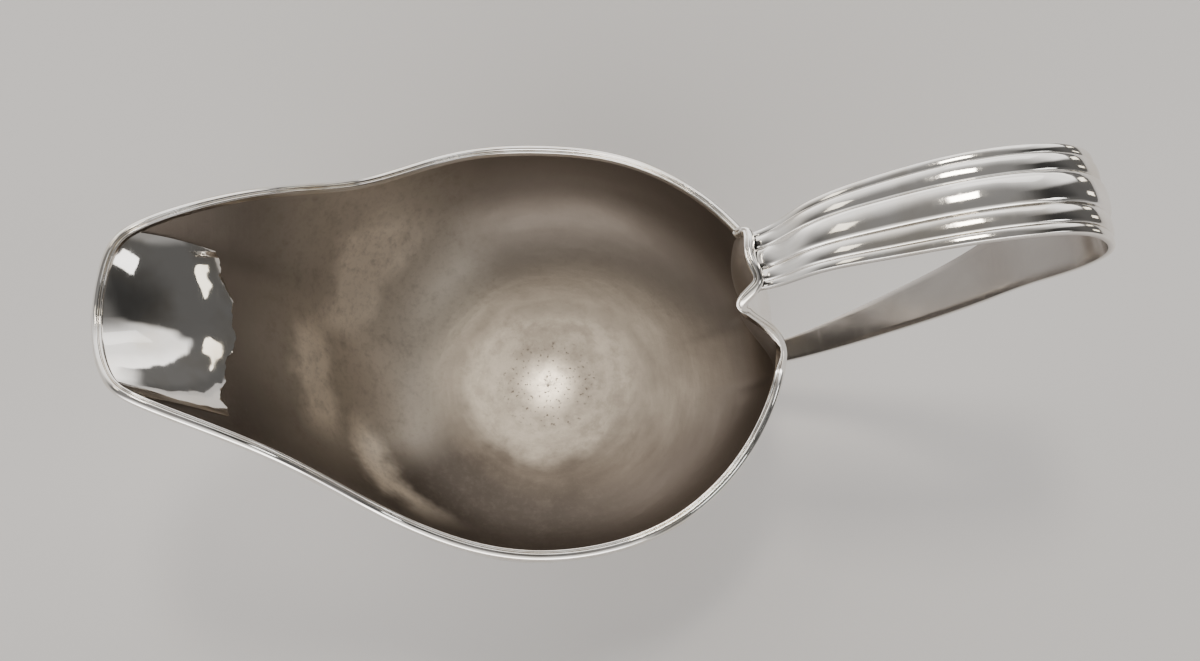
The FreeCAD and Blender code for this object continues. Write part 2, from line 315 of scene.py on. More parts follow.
# One side of the bowl from the spout's tip round to the handle, in millimetres: bearing on the
# floor, reach of the lower belly, the place that draws out the upper belly, and the rim.
DRAWN = {"spout": 89.5, "rear": 56.0, "half": 50.0, "depth": 27.0, "rise": 40.0}
STATIONS = [
    (180.0, 55.0, (-50.0, 0.0, 50.0), (-89.5, 0.0, 62.6)),
    (168.0, 55.0, (-54.0, 12.8, 49.0), (-86.2, 13.6, 65.6)),
    (160.0, 54.0, (-57.0, 20.0, 48.0), (-80.6, 19.2, 66.2)),
    (145.0, 50.0, (-50.0, 28.6, 37.0), (-58.5, 29.2, 57.2)),
    (127.0, 45.0, (-36.0, 39.4, 22.0), (-38.0, 39.2, 39.0)),
    (107.0, 42.0, (-17.0, 48.6, 14.0), (-17.3, 48.0, 31.0)),
    (87.0, 41.0, (3.0, 50.0, 12.0), (3.0, 50.0, 27.0)),
    (63.0, 43.0, (24.0, 46.0, 11.0), (24.0, 45.0, 26.0)),
    (38.0, 46.0, (42.5, 32.0, 12.0), (41.6, 31.2, 27.0)),
    (22.0, 52.0, (51.5, 19.0, 14.0), (49.9, 18.0, 29.2)),
    (15.0, 60.0, (54.0, 13.2, 19.0), (51.4, 12.4, 33.6)),
    (11.0, 72.0, (47.5, 10.0, 30.0), (46.4, 9.5, 48.0)),
    (8.0, 82.0, (38.5, 9.5, 40.0), (41.3, 8.7, 58.2)),
    (5.0, 86.0, (32.0, 7.5, 45.0), (44.6, 5.7, 61.2)),
    (0.0, 87.0, (29.0, 0.0, 45.0), (43.8, 0.0, 62.0)),
]
ASKEW = {11: (47.0, 8.9, 48.0), 12: (43.0, 7.2, 58.6), 13: (44.2, 5.9, 61.2)}
BEARINGS = np.radians([station[0] for station in STATIONS])
LOWER_REACH = np.array([station[1] for station in STATIONS]) * MM


def cubic(starts, ends, start_bends, end_bends, step, late):
    """Places on a cubic, from its ends, their second derivatives and how late they lie."""
    early = step - late
    return ((start_bends * early ** 3 + end_bends * late ** 3) / (6.0 * step)
            + (starts / step - start_bends * step / 6.0) * early
            + (ends / step - end_bends * step / 6.0) * late)


class ClosedCurve:
    """Smooth closed curve through places that share the rim's knots."""

    def __init__(self, places, knots):
        self.places = np.asarray(places)
        self.knots = knots
        count = len(self.places)
        steps = np.diff(knots)
        after = np.roll(self.places, -1, axis=0)
        slopes = (after - self.places) / steps[:, None]
        system = np.zeros((count, count))
        for here in range(count):
            before = (here - 1) % count
            system[here, before] += steps[before]
            system[here, here] += 2.0 * (steps[before] + steps[here])
            system[here, (here + 1) % count] += steps[here]
        self.bends = np.linalg.solve(system, 6.0 * (slopes - np.roll(slopes, 1, axis=0)))
        self.steps, self.slopes = steps, slopes

    def at(self, values):
        """Places at parameter values."""
        values = np.mod(values, self.knots[-1])
        here = np.clip(np.searchsorted(self.knots, values, side="right") - 1, 0, len(self.places) - 1)
        there = (here + 1) % len(self.places)
        step = self.steps[here][:, None]
        late = (values - self.knots[here])[:, None]
        return cubic(self.places[here], self.places[there],
                     self.bends[here], self.bends[there], step, late)

    def runs(self):
        """Directions of the curve at its own places."""
        there = np.roll(self.bends, -1, axis=0)
        return self.slopes - self.steps[:, None] * (2.0 * self.bends + there) / 6.0


def bezier(rows, share_up):
    """Places at a share of the way across control rows: one share, or a column of one for each place."""
    degree = len(rows) - 1
    total = np.zeros_like(rows[0])
    for index, row in enumerate(rows):
        weight = math.comb(degree, index) * share_up ** index * (1.0 - share_up) ** (degree - index)
        total = total + weight * row
    return total


class BoatLines:
    """The rows that the bowl, its liner and its rim wire follow."""

    def __init__(self, bowl):
        self.bowl = bowl
        self.rim = self.mirrored([self.scaled(station[3]) for station in STATIONS])
        for number, place in ASKEW.items():
            self.rim[number] = self.scaled(place)
        gaps = np.sqrt(np.linalg.norm(np.roll(self.rim, -1, axis=0) - self.rim, axis=1))
        self.knots = np.concatenate([[0.0], np.cumsum(gaps)])
        runs = ClosedCurve(self.rim, self.knots).runs()
        sides = np.stack([-runs[:, 1], runs[:, 0], np.zeros(len(runs))], axis=1)
        sides /= np.linalg.norm(sides, axis=1)[:, None]
        self.outward = sides if sides[0, 0] < 0 else -sides

    def scaled(self, place):
        x, y, z = place
        reach = self.bowl.spout_reach / DRAWN["spout"] if x < 0 else self.bowl.rear_reach / DRAWN["rear"]
        low = min(z, DRAWN["depth"]) * self.bowl.belly_depth / DRAWN["depth"]
        high = max(z - DRAWN["depth"], 0.0) * self.bowl.spout_rise / DRAWN["rise"]
        return [x * reach, y * self.bowl.belly_half / DRAWN["half"], REST + self.bowl.wall + low + high]

    def mirrored(self, half):
        half = np.asarray(half, float)
        return np.concatenate([half, (half[1:-1] * (1, -1, 1))[::-1]])

    def round_row(self, reach, height):
        half = np.stack([reach * np.cos(BEARINGS), reach * np.sin(BEARINGS),
                         np.full(len(BEARINGS), height)], axis=1)
        return self.mirrored(half)

    def upper_row(self, inset):
        half = np.array([self.scaled(station[2]) for station in STATIONS])
        level = half * (1, 1, 0)
        return self.mirrored(half - level * (inset / np.linalg.norm(level, axis=1))[:, None])

    def rim_row(self, offset, lift=0.0):
        return self.rim + self.outward * offset + np.array([0.0, 0.0, lift])

    def skin_rows(self, inset):
        """Control rows of the outside (inset 0) or the inside (inset = wall)."""
        floor = REST + inset
        reach = LOWER_REACH * self.bowl.belly_half / (DRAWN["half"] * MM) - inset
        return [self.round_row(self.bowl.floor_radius, floor), self.round_row(reach, floor),
                self.upper_row(inset), self.rim_row(-inset)]

    def places(self, rows, values):
        """Control rows as smooth curves, sampled at parameter values."""
        return [ClosedCurve(row, self.knots).at(values) for row in rows]

    def around(self, per_gap):
        """Parameter values, evenly spread between one station and the next."""
        return np.concatenate([np.linspace(start, end, per_gap, endpoint=False)
                               for start, end in zip(self.knots, self.knots[1:])])


# -------- silver

def solid(colour_value, factor=1.0, most=1.0):
    """A colour setting as a node's colour, lighter or darker by a factor."""
    return tuple(min(part * factor, most) for part in colour_value) + (1.0,)


def silver(name, settings, roughness, paint=None, dents=0.0):
    """Polished silver. paint takes its colour, roughness and relief and returns its own."""
    material = bpy.data.materials.new(name)
    material.use_nodes = True
    tree = material.node_tree
    shader = tree.nodes["Principled BSDF"]
    shader.inputs["Metallic"].default_value = 1.0
    bench = Bench(tree)
    place = bench.node("ShaderNodeTexCoord", {}, {}, "Object")
    wear = bench.noise(place, 90.0, 3.0)
    hairlines = bench.noise(place, 900.0, 2.0, stretch=(1.0, 0.12, 0.4))
    bright = solid(settings.silver.bright)
    worn_by = (0.86, 0.83, 0.78)
    warm = solid([part * factor for part, factor in zip(settings.silver.bright, worn_by)])
    tint = bench.blend(bench.ramp(wear, 0.42, 0.72), bright, warm)
    rough = roughness + 0.05 * wear + 0.05 * bench.ramp(hairlines, 0.5, 0.8)
    relief = bench.noise(place, 160.0, 1.0) * dents + hairlines * 0.02
    if paint:
        tint, rough, relief = paint(bench, place, tint, rough, relief)
    bump = bench.node("ShaderNodeBump", {}, {"Strength": 1.0, "Distance": 0.0002, "Height": relief})
    tree.links.new(tint.socket, shader.inputs["Base Color"])
    tree.links.new(rough.socket, shader.inputs["Roughness"])
    tree.links.new(bump.socket, shader.inputs["Normal"])
    return material


# Places in the paint are in metres from the axis of the foot. The spout lies towards -X, the
# handle towards +X and the near side towards -Y.
FLOOR_DISC = (0.0165, 0.0225)     # the pale disc on the floor, worn and partly painted light, fades out between these radii
HEART_HIGHLIGHT = (0.001, 0.009)            # and the painted highlight at its middle between these
BLOOM = (0.019, 0.054)            # the brown bloom thickens between these
# Painted highlights, soft bright bands round the throat: distance from the axis,
# half-width, and the place across the boat.
THROAT_HIGHLIGHTS = [(0.0525, 0.0048, -0.001), (0.0450, 0.0040, -0.021), (0.0480, 0.0060, 0.026)]


def worn_and_lit_places(bench, x, y, radius, wobble, patches):
    """Where the inside is pale: the floor's disc, where the bloom is rubbed off and painted light adds to
    it, painted light on the throat, and painted highlights at the floor's heart and in bands round the
    throat.
    """
    to_handle, to_far = x / radius, y / radius
    heart_radius = radius + (patches["mottle"] - 0.5) * 0.006
    # Painted highlight: the bright spot at the floor's middle.
    heart_highlight = bench.ramp(heart_radius, *HEART_HIGHLIGHT, 1.0, 0.0)
    # Painted light: the throat is painted paler.
    throat = bench.ramp(to_handle, -0.15, -0.85) * bench.ramp(0.0 - to_far, 0.12, 0.60, 1.0, 0.0)
    throat = throat * bench.ramp(radius, 0.020, 0.036) * bench.ramp(radius, 0.049, 0.067, 1.0, 0.0)
    disc = bench.ramp(wobble, *FLOOR_DISC, 1.0, 0.0)
    # Painted light: the disc is paler towards the spout and the near side; its cloudy patches are wear.
    spout_side = bench.ramp(0.0 - 0.6 * to_handle - 0.5 * to_far, -0.4, 0.6)
    cloudy = bench.ramp(patches["mottle"] * 0.35 + patches["turning"] * 0.65, 0.36, 0.64)
    worn_and_lit = 0.56 * throat + disc * (0.02 + 0.18 * spout_side + 0.26 * cloudy) + heart_highlight
    # Painted highlights: soft bright bands round the throat.
    for reach, spread, side in THROAT_HIGHLIGHTS:
        band = bench.ramp((wobble - reach).math("ABSOLUTE"), 0.0, spread, 1.0, 0.0)
        length = bench.ramp((y - side).math("ABSOLUTE"), 0.004, 0.017, 1.0, 0.0)
        worn_and_lit = worn_and_lit + band * length * bench.ramp(x, 0.0, -0.02) * 0.85
    return worn_and_lit.clamped(), heart_highlight


def bloom_and_shade_places(bench, x, y, radius, wobble, turning):
    """How thick the brown bloom is, and the painted shade that makes the near side darker still."""
    to_handle, to_far = x / radius, y / radius
    # Thin towards the spout, as painted light on the throat, and thick on the near side, as painted
    # shade.
    lean = 0.95 + 0.42 * to_handle.math("MINIMUM", 0.0) + 0.10 * to_handle.math("MAXIMUM", 0.0)
    lean = lean + 1.30 * (0.0 - to_far - 0.35 * to_handle).math("MAXIMUM", 0.0)
    bloom_and_shade = bench.ramp((wobble + (turning - 0.5) * 0.010) * lean, *BLOOM)
    # Painted shade: the near side of the wall is darkened as if in shade.
    near_shade = bench.ramp(0.0 - 0.80 * to_far - 0.54 * to_handle, 0.28, 0.88)
    return bloom_and_shade, near_shade * bench.ramp(wobble, 0.018, 0.029) * 0.85


def rubbed_inside(settings):
    """Inside of the bowl: satin silver, turned on its floor, with a brown bloom up its wall, painted
    shade on its near side and painted light and highlights on its floor and throat.
    """
    pitch = settings.bowl.turning
    satin = solid(settings.silver.satin)
    # Pale satin for rubbed wear and for painted light and highlights.
    pale = solid(settings.silver.satin, 3.2, 0.97)
    brown = solid(settings.silver.tarnish)
    # Darker brown for the painted shade on the near side.
    shade_brown = solid(settings.silver.tarnish, 0.50)

    def paint(bench, place, tint, rough, relief):
        inside = bench.node("ShaderNodeAttribute", {"attribute_name": "inside"}, {}, "Fac")
        x, y, _ = bench.axes(place)
        radius = (x * x + y * y).math("SQRT")
        cloud = bench.noise(place, 60.0, 4.0, 0.6)
        mottle = bench.noise(place, 260.0, 4.0, 0.65)
        grain = bench.noise(place, 900.0, 3.0, 0.6)
        # Marks of turning: long along the circle, short across it.
        along_circle = bench.node("ShaderNodeCombineXYZ", {}, {
            0: x / radius * 0.012, 1: y / radius * 0.012, 2: radius * 1.6})
        turning = bench.noise(along_circle, 0.45 / pitch, 4.0, 0.6)
        fine_turning = bench.noise(along_circle, 1.9 / pitch, 2.0)
        wobble = radius + (cloud - 0.5) * 0.009
        bloom_and_shade, near_shade = bloom_and_shade_places(bench, x, y, radius, wobble, turning)
        worn_and_lit, heart_highlight = worn_and_lit_places(bench, x, y, radius, wobble, {"mottle": mottle, "turning": turning})
        colour_in = bench.blend(bloom_and_shade, satin, brown)
        # Painted shade over the near side.
        colour_in = bench.blend(near_shade, colour_in, shade_brown)
        # Wear, painted light and painted highlights in pale satin.
        colour_in = bench.blend(worn_and_lit, colour_in, pale)
        # Fine dirt, with a few specks at the middle of the floor.
        specks = bench.ramp(bench.noise(place, 1300.0, 1.0), 0.66, 0.72)
        specks = specks * bench.ramp(radius, 0.009, 0.014, 1.0, 0.0)
        dirt = specks * 0.8 + (0.5 - mottle).math("MAXIMUM", 0.0) * 1.2
        dirt = dirt + (0.5 - grain).math("MAXIMUM", 0.0) * 0.8
        colour_in = bench.blend(dirt.clamped(), colour_in, brown)
        rough_in = 0.40 + 0.14 * turning + 0.12 * (cloud - 0.5) + 0.05 * grain - 0.15 * heart_highlight
        relief_in = (turning * 0.30 + fine_turning * 0.06 + grain * 0.10 + mottle * 0.20
                     + cloud * 0.8 - specks * 0.25)
        outside = 1.0 - inside
        return (bench.blend(inside, tint, colour_in), rough * outside + rough_in * inside,
                relief * outside + relief_in * inside)

    return paint


def shaded_under(settings):
    """The strap's inner face, painted darker as painted shade under the strap."""
    dark = solid(settings.silver.dull)
    light = solid(settings.silver.dull, 1.17)

    def paint(bench, place, tint, rough, relief):
        outer = bench.node("ShaderNodeAttribute", {"attribute_name": "outer"}, {}, "Fac")
        # Painted shade on the inner face.
        dull = bench.blend(bench.noise(place, 60.0, 2.0), dark, light)
        return bench.blend(outer, dull, tint), rough + 0.14 * (1.0 - outer), relief

    return paint


# -------- pieces

class GRAVY_OT_bowl(bpy.types.Operator):
    """Raise the bowl with its spout"""
    bl_idname = "gravy_boat.bowl"
    bl_label = "Bowl"
    bl_options = {"REGISTER", "UNDO"}

    def execute(self, context):
        settings = context.scene.gravy_boat
        bowl = settings.bowl
        lines = BoatLines(bowl)
        values = lines.around(15)
        climb = np.linspace(0.0, 1.0, 44)
        outer, inner = (self.skin(lines.places(lines.skin_rows(inset), values), climb)
                        for inset in (0.0, bowl.wall))
        loops = np.concatenate([self.floor(lines, values, REST), outer, inner[::-1],
                                self.floor(lines, values, REST + bowl.wall)[::-1]])
        verts, faces = loft(loops)
        half = len(verts) // 2
        mesh = mesh_of("bowl_made", verts, faces, {"inside": [0.0] * half + [1.0] * half})
        metal = silver("satin_and_polished_silver", settings, 0.10, rubbed_inside(settings), 0.25)
        finished("bowl_made", mesh, "bowl", metal)
        return {"FINISHED"}

    def floor(self, lines, values, level):
        """Rings of the round floor, from its centre out."""
        edge = lines.places([lines.round_row(lines.bowl.floor_radius, level)], values)[0]
        centre = np.array([0.0, 0.0, level])
        steps = np.linspace(0.0, 1.0, 10)[:-1]
        return np.array([centre + (edge - centre) * step for step in steps])

    def skin(self, rows, climb):
        """One face of the wall, from the floor's edge up to the rim."""
        return self.planished(np.array([bezier(rows, share_up) for share_up in climb]), climb)

    def planished(self, skin, climb):
        """The skin with its ripples hammered out, but not at the floor's edge and the rim."""
        fade_in, fade_out, rounds = 0.10, 0.25, 60
        hold = np.clip(np.minimum(climb / fade_in, (1.0 - climb) / fade_out), 0.0, 1.0)[:, None, None]
        for _ in range(rounds):
            beside = (np.roll(skin, 1, axis=1) + np.roll(skin, -1, axis=1)) / 2
            skin = skin + 0.5 * hold * (beside - skin)
        return skin


class GRAVY_OT_liner(bpy.types.Operator):
    """Solder the bright sheet into the spout"""
    bl_idname = "gravy_boat.liner"
    bl_label = "Spout liner"
    bl_options = {"REGISTER", "UNDO"}

    def execute(self, context):
        settings = context.scene.gravy_boat
        lines = BoatLines(settings.bowl)
        side = lines.knots[2]
        values = np.linspace(-side, side, 121)
        rows = lines.places(lines.skin_rows(settings.bowl.wall), values)
        rim = 1.0
        low = self.inner_edge(rows, settings, rim)
        climb = np.linspace(0.0, 1.0, 49)
        grid = np.array([bezier(rows, (low + (rim - low) * step)[:, None]) for step in climb])
        normal = np.cross(np.gradient(grid, axis=1), np.gradient(grid, axis=0))
        normal /= np.linalg.norm(normal, axis=2)[..., None]
        normal *= np.sign(normal[..., 2:3])
        back = grid + normal * settings.liner.gap
        face = grid + normal * (settings.liner.gap + settings.liner.thick)
        loops = np.concatenate([back, face[:, ::-1]], axis=1)
        verts, faces = loft(loops)
        count = loops.shape[1]
        faces.append(tuple(range(count)))
        faces.append(tuple(range(len(verts) - count, len(verts))))
        mesh = mesh_of("spout_liner_made", verts, faces)
        metal = silver("mirror_silver", settings, 0.02, None, 0.55)
        finished("spout_liner_made", mesh, "spout_liner", metal)
        return {"FINISHED"}

    def inner_edge(self, rows, settings, rim):
        """How far up the spout the sheet's inner edge lies, for each column of the rows."""
        across = np.linspace(-1.0, 1.0, len(rows[0]))
        # The shears left the edge uneven: a slow wave and small nicks.
        ragged = (1.1 * np.sin(4.4 * across + 1.0) + 0.35 * np.sin(15.0 * across + 2.0)
                  + 0.13 * np.sin(37.0 * across) + 0.06 * np.sin(83.0 * across + 1.0)) * MM
        edges = settings.liner.edge - settings.bowl.spout_reach - 0.6 * MM + ragged
        low = np.full(len(across), 0.3)
        high = np.full(len(across), rim)
        for _ in range(30):
            middle = (low + high) / 2
            x = bezier(rows, middle[:, None])[:, 0]
            low = np.where(x > edges, middle, low)
            high = np.where(x > edges, high, middle)
        return low


class GRAVY_OT_wire(bpy.types.Operator):
    """Run the half-round wire along the rim"""
    bl_idname = "gravy_boat.wire"
    bl_label = "Rim wire"
    bl_options = {"REGISTER", "UNDO"}

    def execute(self, context):
        settings = context.scene.gravy_boat
        lines = BoatLines(settings.bowl)
        wall = settings.bowl.wall
        over = settings.wire.overhang
        path = lines.places([lines.rim_row(-wall / 2)], lines.around(18))[0]
        count = len(path)
        start = bpy.data.meshes.new("rim_path")
        start.from_pydata(path.tolist(), [(i, (i + 1) % count) for i in range(count)], [])
        section = self.section(wall / 2 + over, settings.wire.height)
        bench = geometry_tree("Rim wire")
        given, identifiers = bench.group([
            ("Geometry", "NodeSocketGeometry"), ("Section", "NodeSocketObject"),
            ("Silver", "NodeSocketMaterial")])
        line = bench.node("GeometryNodeMeshToCurve", {}, {0: given["Geometry"]})
        line = bench.node("GeometryNodeSetCurveNormal", {"mode": "Z_UP"}, {"Curve": line})
        shape = bench.node("GeometryNodeObjectInfo", {}, {"Object": given["Section"]}, "Geometry")
        shape = bench.node("GeometryNodeMeshToCurve", {}, {0: shape})
        swept = bench.node("GeometryNodeCurveToMesh", {}, {"Curve": line, "Profile Curve": shape})
        end_tree(bench, swept, given["Silver"])
        metal = silver("polished_wire_silver", settings, 0.06, None, 0.5)
        mesh = grown("rim_wire", start, bench, identifiers, {"Section": section, "Silver": metal})
        bpy.data.objects.remove(section)
        finished("rim_wire_made", mesh, "rim_wire", metal, 80.0)
        return {"FINISHED"}

    def section(self, half, height):
        """Section of the wire: a broad bead outside, a groove, and a narrow bead inside."""
        # Across from -1 to 1 and up from 0 to 1. An arc is its centre and radius across, its
        # centre and radius up, and its first and last turn.
        groove, shoulder, crest = -0.42, 0.40, -0.05
        groove_up = 0.62
        inner = (groove - 1.0) / 2
        arcs = [(crest, 1.0 - crest, shoulder, 1.0 - shoulder, 0.0, 90.0, 16),
                (crest, crest - groove, groove_up, 1.0 - groove_up, 90.0, 180.0, 8),
                (inner, groove - inner, groove_up, 0.22, 0.0, 180.0, 12)]
        places = [(1.0, 0.0)]
        for number, (across, wide, up, tall, start, end, steps) in enumerate(arcs):
            turns = np.radians(np.linspace(start, end, steps))
            shared = min(number, 1)      # an arc starts where the last one ended
            places += [(across + wide * math.cos(turn), up + tall * math.sin(turn))
                       for turn in turns[shared:]]
        places.append((-1.0, 0.0))
        mesh = bpy.data.meshes.new("rim_section")
        count = len(places)
        # A swept section's own axes point inwards and down.
        mesh.from_pydata([(-half * across, -height * up, 0.0) for across, up in places],
                         [(i, (i + 1) % count) for i in range(count)], [])
        section = bpy.data.objects.new("rim_section", mesh)
        bpy.context.scene.collection.objects.link(section)
        return section


# Middle line of the strap, as shares of the way from its root or its tail to the bend and the
# top, and the share of the way from that end's half-width to the greatest.
UPPER_RUN = [(0.075, 0.09, 0.12), (0.180, 0.42, 0.40), (0.360, 0.73, 0.74), (0.570, 0.94, 0.94),
             (0.775, 1.00, 1.00), (0.930, 0.86, 1.00), (1.000, 0.50, 1.00)]
LOWER_RUN = [(0.959, 0.740, 0.90), (0.839, 0.600, 0.67), (0.713, 0.448, 0.48), (0.552, 0.297, 0.33),
             (0.339, 0.132, 0.16), (0.174, 0.024, 0.04), (0.080, -0.010, 0.00)]
# Bands across the strap, from one edge to the other: where each starts and the size it rises by.
BANDS = [(1.00, "edge_bead"), (0.79, "reed"), (0.36, "centre_reed"),
         (-0.36, "reed"), (-0.79, "edge_bead")]
BAND_ENDS = [start for start, _ in BANDS] + [-1.0]


class GRAVY_OT_strap(bpy.types.Operator):
    """Bend the reeded strap and solder it to the bowl"""
    bl_idname = "gravy_boat.strap"
    bl_label = "Strap handle"
    bl_options = {"REGISTER", "UNDO"}

    def execute(self, context):
        settings = context.scene.gravy_boat
        strap = settings.strap
        lines = BoatLines(settings.bowl)
        values = lines.around(12)
        outer = lines.places(lines.skin_rows(0.0), values)
        skin = np.array([bezier(outer, step) for step in np.linspace(0.0, 1.0, 60)])
        verts, faces = loft(skin)
        wall = BVHTree.FromPolygons(verts, faces)
        root = self.rear_place(wall, lines.rim[len(STATIONS) - 1][2] - strap.root_drop, settings)
        tail = self.rear_place(wall, REST + strap.tail_rise, settings)
        knots = [(root, strap.root_half)]
        knots += [self.along(root, strap.root_half, shares, strap) for shares in UPPER_RUN]
        knots += [self.along(tail, strap.tail_half, shares, strap) for shares in LOWER_RUN]
        knots.append((tail, strap.tail_half))
        path, half = self.smooth(knots, 300)
        run = np.gradient(path, axis=0)
        run /= np.linalg.norm(run, axis=1)[:, None]
        out = np.stack([-run[:, 2], np.zeros(len(run)), run[:, 0]], axis=1)
        mesh = self.band(path, out, half, strap)
        bench, identifiers = self.reeds()
        metal = silver("reeded_silver", settings, 0.055, shaded_under(settings), 0.45)
        mesh = grown("strap_reeds", mesh, bench, identifiers, {
            "Reed rise": strap.reed, "Centre reed rise": strap.centre_reed,
            "Edge bead rise": strap.edge_bead, "Silver": metal})
        self.file_to(wall, mesh, settings.bowl.wall / 2)
        finished("handle_strap_made", mesh, "handle_strap", metal, 50.0)
        return {"FINISHED"}

    def file_to(self, wall, mesh, depth):
        """File away what would stand inside the bowl: no place lies deeper than this in its wall."""
        for vertex in mesh.vertices:
            hit = wall.ray_cast(Vector((0.2, vertex.co.y, vertex.co.z)), Vector((-1, 0, 0)))[0]
            if hit is not None:
                vertex.co.x = max(vertex.co.x, hit.x - depth)

    def rear_place(self, wall, height, settings):
        hit = wall.ray_cast(Vector((0.2, 0.0, height)), Vector((-1, 0, 0)))[0]
        if hit is None:
            raise RuntimeError("the strap doesn't meet the bowl")
        return np.array([hit.x - settings.bowl.wall / 2, 0.0, height])

    def along(self, end, half, shares, strap):
        run, rise, wide = shares
        x = end[0] + run * (strap.reach - end[0])
        place = np.array([x, 0.0, end[2] + rise * (strap.top - end[2])])
        return place, half + wide * (strap.bend_half - half)

    def smooth(self, knots, steps):
        """A natural cubic curve through places and half-widths."""
        rows = np.array([list(place) + [half] for place, half in knots])
        chord = np.linalg.norm(np.diff(rows[:, :3], axis=0), axis=1)
        marks = np.concatenate([[0.0], np.cumsum(chord)])
        count = len(rows)
        system = np.zeros((count, count))
        right = np.zeros_like(rows)
        system[0, 0] = system[-1, -1] = 1.0
        for i in range(1, count - 1):
            system[i, i - 1] = chord[i - 1]
            system[i, i] = 2.0 * (chord[i - 1] + chord[i])
            system[i, i + 1] = chord[i]
            right[i] = 6.0 * ((rows[i + 1] - rows[i]) / chord[i] - (rows[i] - rows[i - 1]) / chord[i - 1])
        bends = np.linalg.solve(system, right)
        at = np.linspace(0.0, marks[-1], steps)
        here = np.clip(np.searchsorted(marks, at, side="right") - 1, 0, count - 2)
        step = chord[here][:, None]
        late = (at - marks[here])[:, None]
        rows = cubic(rows[here], rows[here + 1], bends[here], bends[here + 1], step, late)
        return rows[:, :3], rows[:, 3]

    def band(self, path, out, half, strap):
        """The plain band before it is reeded, with what the reeds need to know at each place."""
        turns = np.linspace(0.0, math.pi, 12, endpoint=False)
        above = [(start + end) / 2 + (start - end) / 2 * np.cos(turns)
                 for start, end in zip(BAND_ENDS, BAND_ENDS[1:])]
        above = np.append(np.concatenate(above), -1.0)
        below = np.linspace(-1.0, 1.0, 15)
        across = np.concatenate([above, below])
        outer = np.repeat([1.0, -1.0], [len(above), len(below)])
        edge = 0.94      # where the inner face starts to round off
        round_edge = 1.0 - 0.25 * np.clip((np.abs(across) - edge) / (1.0 - edge), 0.0, 1.0) ** 2
        thick = strap.thick / 2 * outer * np.where(outer < 0, round_edge, 1.0)
        sideways = np.array([0.0, 1.0, 0.0]) * (across[None, :, None] * half[:, None, None])
        loops = path[:, None, :] + sideways + out[:, None, :] * thick[None, :, None]
        verts, faces = loft(loops)
        count = len(across)
        faces.append(tuple(range(count))[::-1])
        faces.append(tuple(range(len(verts) - count, len(verts))))
        grow = half / strap.bend_half
        return mesh_of("strap_band", verts, faces, {
            "across": np.tile(across, len(path)),
            "outer": np.tile((outer > 0).astype(float), len(path)),
            "grow": np.repeat(grow, count),
            "out": np.repeat(out, count, axis=0)})

    def reeds(self):
        """Tree that raises five rounded reeds along the outside of the band."""
        bench = geometry_tree("Strap reeds")
        given, identifiers = bench.group([
            ("Geometry", "NodeSocketGeometry"), ("Reed rise", "NodeSocketFloat"),
            ("Centre reed rise", "NodeSocketFloat"), ("Edge bead rise", "NodeSocketFloat"),
            ("Silver", "NodeSocketMaterial")])
        names = {"reed": "Reed rise", "centre_reed": "Centre reed rise", "edge_bead": "Edge bead rise"}

        def named(name, kind="FLOAT"):
            return bench.node("GeometryNodeInputNamedAttribute", {"data_type": kind}, {"Name": name})

        across = named("across")
        rise = None
        for (start, size), end in zip(BANDS, BAND_ENDS[1:]):
            off = (across - (start + end) / 2) / ((start - end) / 2)
            flat_top = (1.0 - off * off).math("MAXIMUM", 0.0) ** 0.28
            reed = flat_top * given[names[size]]
            rise = reed if rise is None else rise + reed
        rise = rise * named("grow") * named("outer")
        move = bench.node("ShaderNodeVectorMath", {"operation": "SCALE"},
                          {0: named("out", "FLOAT_VECTOR"), "Scale": rise})
        raised = bench.node("GeometryNodeSetPosition", {},
                            {"Geometry": given["Geometry"], "Offset": move})
        end_tree(bench, raised, given["Silver"])
        return bench, identifiers


